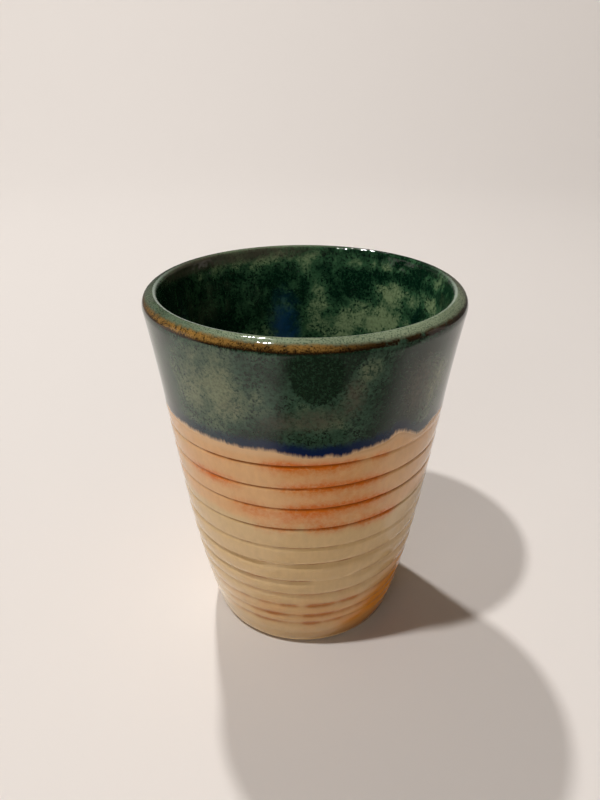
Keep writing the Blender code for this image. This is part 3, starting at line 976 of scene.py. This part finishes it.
# The fringe: the share of a height that counts, widths of streaks and tongues, how far each moves the edge,
# and the heights at which it is blue or worn
EDGE_RUN = 0.22
EDGE_STREAK = 0.7
EDGE_TONGUE = 3
STREAK_REACH = 1.8
TONGUE_REACH = 1.6
BLUE_FRINGE = {"From Min": 3.0, "From Max": 0.4}
WORN_FRINGE = {"From Min": -0.2, "From Max": -1.8}
# The lip: widths of flecks, blots and lumps, how far they and the gold move its colours, and where each
# colour starts and is full along the section
LIP_FLECK = 0.35
LIP_BLOT = 1.6
LIP_LUMP = 2.8
LUMP_RELIEF = 0.4
FLECK_REACH = 0.9
BLOT_REACH = 1.0
GOLD_DOWN = 0.35
GOLD_UP = 0.7
GOLD_COVER = 0.6
DARK_LINE = {"From Min": 1.25, "From Max": 1.55}
GOLD_BAND = {"From Min": 1.55, "From Max": 2.55}
PALE_TOP = {"From Min": 1.6, "From Max": 2.8}
LUMPY_TOP = {"From Min": 2.0, "From Max": 4.0}
HIGHLIGHT_EDGE = {"From Min": 5.2, "From Max": 5.5}
PLAIN_INSIDE = {"From Min": 5.7, "From Max": 6.3}
tree, shader, place = finish("green_ash_glaze_dipped", dip_glaze, ior=1.5, roughness=0.07)
inside = add(tree, "Attribute", output="Fac", attribute_name="inside")
pooled = add(tree, "MixRGB", {"Fac": inside, "Color1": DIP_POOLED, "Color2": POOLED})
leaf = add(tree, "MixRGB", {"Fac": inside, "Color1": DIP_LEAF, "Color2": LINER_LEAF})
sage = add(tree, "MixRGB", {"Fac": inside, "Color1": DIP_SAGE, "Color2": LINER_SAGE})
swing = add(tree, "MapRange", {"Value": inside, "To Min": DIP_SWING, "To Max": LINER_SWING})
glaze = ash_green(tree, place, pooled, leaf, sage, swing)
brown = add(tree, "Attribute", output="Fac", attribute_name="brown")
mottle = add(tree, "TexNoise", {"Vector": place, "Scale": 1 / IRON_MOTTLE, "Detail": 6, "Roughness": 0.8})
brown = add(tree, "Math", {0: brown, 1: mottle}, operation="MULTIPLY")
brown = add(tree, "MapRange", {"Value": brown, "From Min": 0.12, "From Max": 0.42, "To Max": 0.8}, **SOFT)
glaze = add(tree, "MixRGB", {"Fac": brown, "Color1": glaze, "Color2": DIP_BROWN})
above = add(tree, "Attribute", output="Fac", attribute_name="above_edge")
run = add(tree, "VectorMath", {0: place, 1: (1, 1, EDGE_RUN)}, operation="MULTIPLY")
streak = add(tree, "TexNoise", {"Vector": run, "Scale": 1 / EDGE_STREAK, "Detail": 3})
tongue = add(tree, "TexNoise", {"Vector": run, "Scale": 1 / EDGE_TONGUE, "Detail": 2})
ragged = add(tree, "Math", {0: streak, 1: -STREAK_REACH, 2: above}, operation="MULTIPLY_ADD")
ragged = add(tree, "Math", {0: tongue, 1: -TONGUE_REACH, 2: ragged}, operation="MULTIPLY_ADD")
fringe = add(tree, "MapRange", {"Value": ragged, **BLUE_FRINGE}, **SOFT)
blue = add(tree, "Attribute", output="Fac", attribute_name="blue")
fringe = add(tree, "Math", {0: fringe, 1: blue}, operation="MULTIPLY")
tone = add(tree, "MixRGB", {"Fac": fringe, "Color1": glaze, "Color2": NAVY})
worn = add(tree, "MapRange", {"Value": ragged, **WORN_FRINGE}, **SOFT)
tone = add(tree, "MixRGB", {"Fac": worn, "Color1": tone, "Color2": CREAM_PALE})
fleck = add(tree, "TexNoise", {"Vector": place, "Scale": 1 / LIP_FLECK, "Detail": 3})
blot = add(tree, "TexNoise", {"Vector": place, "Scale": 1 / LIP_BLOT, "Detail": 3, "Roughness": 0.6})
gilt = add(tree, "Attribute", output="Fac", attribute_name="gold")
on_lip = add(tree, "Attribute", output="Fac", attribute_name="on_lip")
on_lip = add(tree, "Math", {0: fleck, 1: FLECK_REACH, 2: on_lip}, operation="MULTIPLY_ADD")
lower = add(tree, "Math", {0: gilt, 1: GOLD_DOWN, 2: on_lip}, operation="MULTIPLY_ADD")
cover = add(tree, "Math", {0: gilt, 1: GOLD_COVER, 2: blot}, operation="MULTIPLY_ADD")
cover = add(tree, "MapRange", {"Value": cover, "From Min": 0.34, "From Max": 0.54}, **SOFT)
line = add(tree, "MapRange", {"Value": lower, **DARK_LINE, "To Max": cover}, **SOFT)
tone = add(tree, "MixRGB", {"Fac": line, "Color1": tone, "Color2": LIP_LINE})
blotchy = add(tree, "Math", {0: fleck, 1: blot})
gold = add(tree, "MapRange", {"Value": blotchy, "From Min": 0.7, "From Max": 1.15, "To Max": gilt}, **SOFT)
gold = add(tree, "MixRGB", {"Fac": gold, "Color1": LIP_DARK, "Color2": LIP_GOLD})
shoulder = add(tree, "MapRange", {"Value": lower, **GOLD_BAND, "To Max": cover}, **SOFT)
tone = add(tree, "MixRGB", {"Fac": shoulder, "Color1": tone, "Color2": gold})
dots = add(tree, "MapRange", {"Value": fleck, "From Min": 0.46, "From Max": 0.62, "To Max": 0.75}, **SOFT)
crest = add(tree, "MixRGB", {"Fac": dots, "Color1": CELADON, "Color2": DIP_LEAF})
fired = add(tree, "Attribute", output="Fac", attribute_name="crest")
crest = add(tree, "MixRGB", {"Fac": fired, "Color1": glaze, "Color2": crest})
reach = add(tree, "Math", {0: gilt, 1: -GOLD_UP, 2: on_lip}, operation="MULTIPLY_ADD")
reach = add(tree, "Math", {0: blot, 1: -BLOT_REACH, 2: reach}, operation="MULTIPLY_ADD")
top = add(tree, "MapRange", {"Value": reach, **PALE_TOP}, **SOFT)
tone = add(tree, "MixRGB", {"Fac": top, "Color1": tone, "Color2": crest})
# Painted highlight along the lip's inner edge
painted_highlight = add(tree, "Attribute", output="Fac", attribute_name="painted_highlight")
edge = add(tree, "MapRange", {"Value": on_lip, **HIGHLIGHT_EDGE, "To Max": painted_highlight}, **SOFT)
tone = add(tree, "MixRGB", {"Fac": edge, "Color1": tone, "Color2": LIP_HIGHLIGHT})
back = add(tree, "MapRange", {"Value": on_lip, **PLAIN_INSIDE}, **SOFT)
shade = add(tree, "MixRGB", {"Fac": back, "Color1": tone, "Color2": glaze})
tree.links.new(shade, shader.inputs["Base Color"])
relief = rippled(tree, shader, place)
lump = add(tree, "TexNoise", {"Vector": place, "Scale": 1 / LIP_LUMP, "Detail": 1})
lumpy = add(tree, "MapRange", {"Value": on_lip, **LUMPY_TOP, "To Max": 0.6}, **SOFT)
lumps = {"Height": lump, "Strength": lumpy, "Distance": LUMP_RELIEF * MM}
relief = add(tree, "Bump", {**lumps, "Normal": relief})
tree.links.new(relief, shader.inputs["Normal"])
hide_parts("dip_glaze")
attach(dip_glaze, "root")

# STUDIO
# A pale matt paper sweep, level under the cup and curving up all round it, with lamps on its left and a
# camera in front.
SWEEP_LEVEL = 800.0
SWEEP_CURVE = 1600.0
SWEEP_REACH = math.radians(66)
SWEEP_GAP = 0.02
SWEEP_STEPS = 96
SWEEP_ROWS = 60
sweep_angle = around(SWEEP_STEPS)
sweep_turn = np.linspace(0, SWEEP_REACH, SWEEP_ROWS)
sweep_line = (
    np.concatenate(([0.0], SWEEP_LEVEL + SWEEP_CURVE * np.sin(sweep_turn))),
    np.concatenate(([0.0], SWEEP_CURVE * (1 - np.cos(sweep_turn)))) - SWEEP_GAP,
)
studio_sweep = thrown("studio_sweep", sweep_angle, [level_rows(sweep_angle, sweep_line)])
studio_sweep.visible_shadow = False

# Uncoated paper, rolled: matt, with a fine tooth of fibres, drawn coarser than it is so that it shows
PAPER = "#E5DED8"
PAPER_FIBRE = 0.6
FIBRE_RELIEF = 0.05
tree, shader, place = finish("matt_paper", studio_sweep, ior=1.4, roughness=0.9)
shader.inputs["Specular IOR Level"].default_value = 0.1
# Painted shadow: parts of the sweep look dim in reflections alone, standing for a darker room and for the
# shadow of the camera and its holder, which the glazes mirror. Each part has its strength and its limits,
# across to the right (X) or away to the back (Y): where the paper is still clear, and where it is dim.
DIM_PAPER = "#3A3733"
DIM_PARTS = (
    (1.0, (("X", -60, -15), ("X", 95, 55), ("Y", -84, -104))),
    (0.85, (("X", 0, 70), ("Y", -40, -95))),
    (1.0, (("Y", -150, -600),)),
    (0.85, (("Y", 340, 500),)),
)
dim = 0
for strength, limits in DIM_PARTS:
    part = strength
    for axis, clear, full in limits:
        way = add(tree, "SeparateXYZ", {0: place}, output=axis)
        limit = add(tree, "MapRange", {"Value": way, "From Min": clear, "From Max": full}, **SOFT)
        part = add(tree, "Math", {0: part, 1: limit}, operation="MULTIPLY")
    dim = add(tree, "Math", {0: dim, 1: part}, operation="MAXIMUM")
# Painted shadow, seen in the glazes' reflections only
mirrored = add(tree, "LightPath", output="Is Glossy Ray")
dim = add(tree, "Math", {0: dim, 1: mirrored}, operation="MULTIPLY")
shade = add(tree, "MixRGB", {"Fac": dim, "Color1": PAPER, "Color2": DIM_PAPER})
tree.links.new(shade, shader.inputs["Base Color"])
fibre = add(tree, "TexNoise", {"Vector": place, "Scale": 1 / PAPER_FIBRE, "Detail": 3})
relief = add(tree, "Bump", {"Height": fibre, "Strength": 0.2, "Distance": FIBRE_RELIEF * MM})
tree.links.new(relief, shader.inputs["Normal"])

# Two lamps on the left, one in front of the cup and one behind it, a wide soft fill in front, a pale room
LAMP_LEVEL = 0.468
LAMP_WIDTH = math.radians(2.4)
# Each lamp's name, the way to it, and its distance in metres
LAMPS = (("lamp_front", (-31, -22.5, 100), 1.4), ("lamp_back", (-22.5, 47.5, 100), 1.8))
for lamp_name, towards, reach in LAMPS:
    light = bpy.data.lights.new(lamp_name, "POINT")
    light.shadow_soft_size = LAMP_WIDTH * reach / 2
    light.energy = LAMP_LEVEL * 4 * math.pi**2 * reach**2
    lamp = bpy.data.objects.new(lamp_name, light)
    lamp.location = np.array(towards) / np.linalg.norm(towards) * reach
    lamp.visible_camera = False
    bpy.context.scene.collection.objects.link(lamp)
FILL_LEVEL = 0.12
FILL_WIDTH = math.radians(30)
FILL_RISE = math.radians(16)
FILL_SIDE = math.radians(-30)
light = bpy.data.lights.new("fill", "SUN")
light.angle = FILL_WIDTH
light.energy = FILL_LEVEL * math.pi
fill = bpy.data.objects.new("fill", light)
fill.rotation_euler = (math.pi / 2 - FILL_RISE, 0, FILL_SIDE)
fill.visible_glossy = False
bpy.context.scene.collection.objects.link(fill)

ROOM_LIGHT = 0.055
ROOM_SEEN = 0.7
ROOM_WARM = "#E0B482"
world = bpy.data.worlds.new("room")
world.use_nodes = True
room = world.node_tree.nodes["Background"]
seen = add(world.node_tree, "LightPath", output="Is Camera Ray")
tint = add(world.node_tree, "MixRGB", {"Fac": seen, "Color1": ROOM_WARM, "Color2": PAPER})
world.node_tree.links.new(tint, room.inputs["Color"])
level = add(world.node_tree, "MapRange", {"Value": seen, "To Min": ROOM_LIGHT, "To Max": ROOM_SEEN})
world.node_tree.links.new(level, room.inputs["Strength"])
bpy.context.scene.world = world

# Camera, at the photograph's height and tilt. Its lens is in millimetres, its place in metres.
LENS = 30.42
LENS_FRAME = 36
NEAREST = 0.01
CAMERA_PLACE = (0, -0.1719, 0.1535)
CAMERA_TILT = math.radians(26.96)
CAMERA_TURN = 0.0073
lens = bpy.data.cameras.new("camera")
lens.lens = LENS
lens.sensor_width = LENS_FRAME
lens.clip_start = NEAREST
camera = bpy.data.objects.new("camera", lens)
camera.location = CAMERA_PLACE
camera.rotation_euler = (math.pi / 2 - CAMERA_TILT, 0, CAMERA_TURN)
bpy.context.scene.collection.objects.link(camera)
bpy.context.scene.camera = camera
